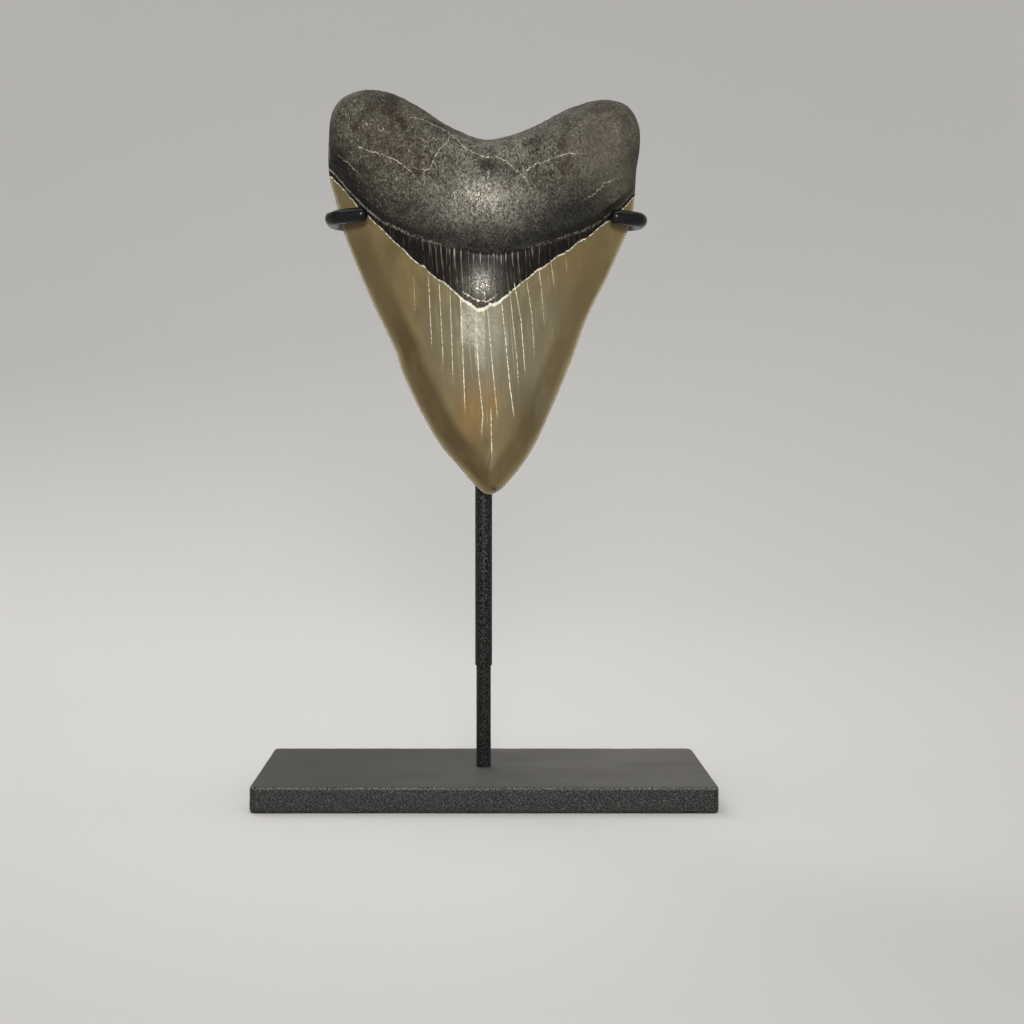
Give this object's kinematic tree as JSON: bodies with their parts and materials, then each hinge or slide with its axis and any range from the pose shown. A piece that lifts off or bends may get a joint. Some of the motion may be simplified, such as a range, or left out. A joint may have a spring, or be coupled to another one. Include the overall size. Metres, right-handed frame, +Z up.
{
  "type": "megalodon tooth on a display stand",
  "caption": "Fossil megalodon tooth, point down, held at its shoulders by two sheathed wire hooks on a slender post over a flat black steel plate.",
  "frame": {"origin": "centre of the plate's underside, on the surface that the stand rests on", "axes": "+X to the viewer's right along the plate, +Y to the back, +Z up; the tooth's domed face looks towards -Y"},
  "size_m": [0.1524, 0.0762, 0.2378],
  "materials": {
    "fossil": "glossy olive and tan enamel below a satin dark grey-brown root, with pale cracks",
    "plate_paint": "satin black paint, fine sandy grain on the sides",
    "post_paint": "satin black paint with a fine grain",
    "tubing": "smooth black vinyl tubing, satin"
  },
  "bodies": {
    "root": {"tooth": "fossil", "base_plate": "plate_paint", "post_rod": "post_paint", "post_sleeve": "post_paint", "cradle_wire": "post_paint", "left_hook_sheath": "tubing", "right_hook_sheath": "tubing"}
  },
  "joints": []
}
